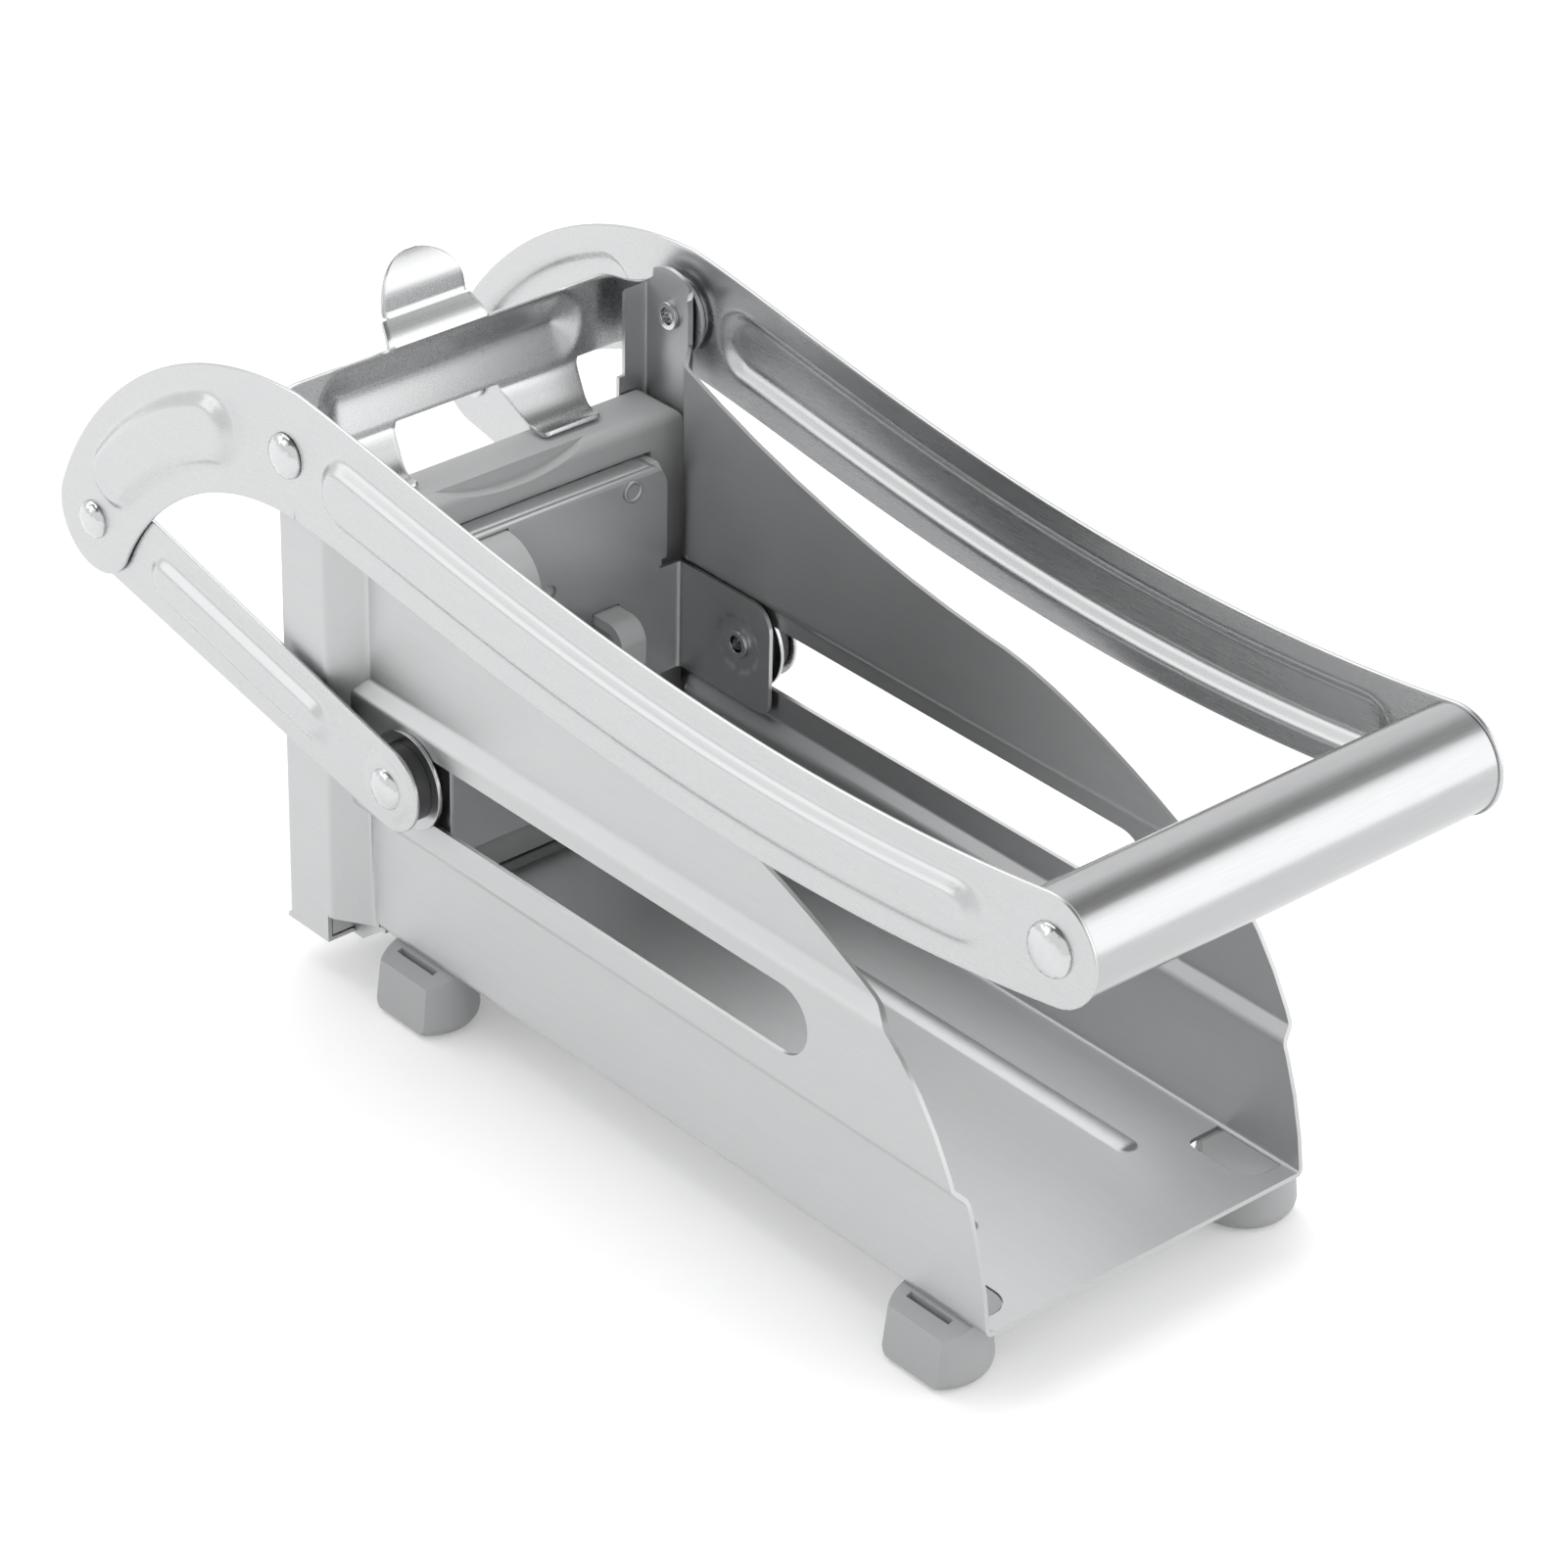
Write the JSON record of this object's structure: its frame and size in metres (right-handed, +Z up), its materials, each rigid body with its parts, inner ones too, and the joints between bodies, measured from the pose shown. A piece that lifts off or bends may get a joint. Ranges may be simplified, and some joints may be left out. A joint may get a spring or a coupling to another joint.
{
  "type": "french fry cutter",
  "caption": "Hand lever potato chipper: a pressed steel channel with a crossed blade cassette, a linked pusher with teeth, and two ribbed lever arms joined by a tube handle.",
  "frame": {"origin": "middle of the outer box, on the plane under the feet", "axes": "+X along the channel towards the handle, +Y to the far side, +Z up"},
  "size_m": [0.264, 0.0918, 0.1222],
  "materials": {
    "steel_body": "satin brushed stainless sheet",
    "steel_lever": "bright brushed stainless sheet",
    "steel_handle": "brushed stainless tube, grain along the tube",
    "rivet_steel": "polished rivet steel",
    "washer_steel": "turned steel",
    "blade_steel": "bright ground blade steel",
    "grey_plastic": "light grey moulded plastic",
    "foot_plastic": "light grey moulded plastic",
    "dark_plastic": "dark moulded plastic"
  },
  "bodies": {
    "base": {"body_channel": "steel_body", "foot_front_near": "foot_plastic", "foot_front_far": "foot_plastic", "foot_rear_near": "foot_plastic", "foot_rear_far": "foot_plastic", "pivot_rivets": "rivet_steel", "cassette_frame": "grey_plastic", "blades_upright": "blade_steel", "blades_level": "blade_steel"},
    "lever": {"lever_arm_near": "steel_lever", "lever_arm_far": "steel_lever", "handle_tube": "steel_handle", "handle_plugs": "dark_plastic", "handle_rivets": "rivet_steel", "link_rivets": "rivet_steel", "pivot_washers": "washer_steel"},
    "link_near": {"link_near": "steel_lever", "link_cap_near": "rivet_steel"},
    "link_far": {"link_far": "steel_lever", "link_cap_far": "rivet_steel"},
    "pusher": {"pusher_plate": "steel_body", "tooth_block": "grey_plastic", "pusher_pins": "rivet_steel", "slot_bushes": "dark_plastic", "slot_washers": "washer_steel", "slot_spacers": "dark_plastic"},
    "clip": {"blade_clip": "steel_lever"}
  },
  "joints": [
    {"name": "lever_hinge", "type": "hinge", "parent": "base", "child": "lever", "pos_m": [-0.06395, 0, 0.1032], "axis": [0, -1, 0], "range_deg": [0, 90]},
    {"name": "pusher_slide", "type": "slide", "parent": "base", "child": "pusher", "axis": [1, 0, 0], "range_m": [0, 0.09589]},
    {"name": "link_near_hinge", "type": "hinge", "parent": "lever", "child": "link_near", "pos_m": [-0.12185, -0.0424, 0.067], "axis": [0, -1, 0], "range_deg": [-75.26, 0]},
    {"name": "link_far_hinge", "type": "hinge", "parent": "lever", "child": "link_far", "pos_m": [-0.12185, 0.0424, 0.067], "axis": [0, -1, 0], "range_deg": [-75.26, 0]},
    {"name": "clip_hinge", "type": "hinge", "parent": "base", "child": "clip", "pos_m": [-0.06395, 0, 0.1032], "axis": [0, 1, 0], "range_deg": [0, 30]}
  ],
  "couplings": [
    {"joint": "pusher_slide", "follows": "lever_hinge", "m_per_rad": 0.061038},
    {"joint": "link_near_hinge", "follows": "lever_hinge", "ratio": -0.83565},
    {"joint": "link_far_hinge", "follows": "lever_hinge", "ratio": -0.83565}
  ]
}
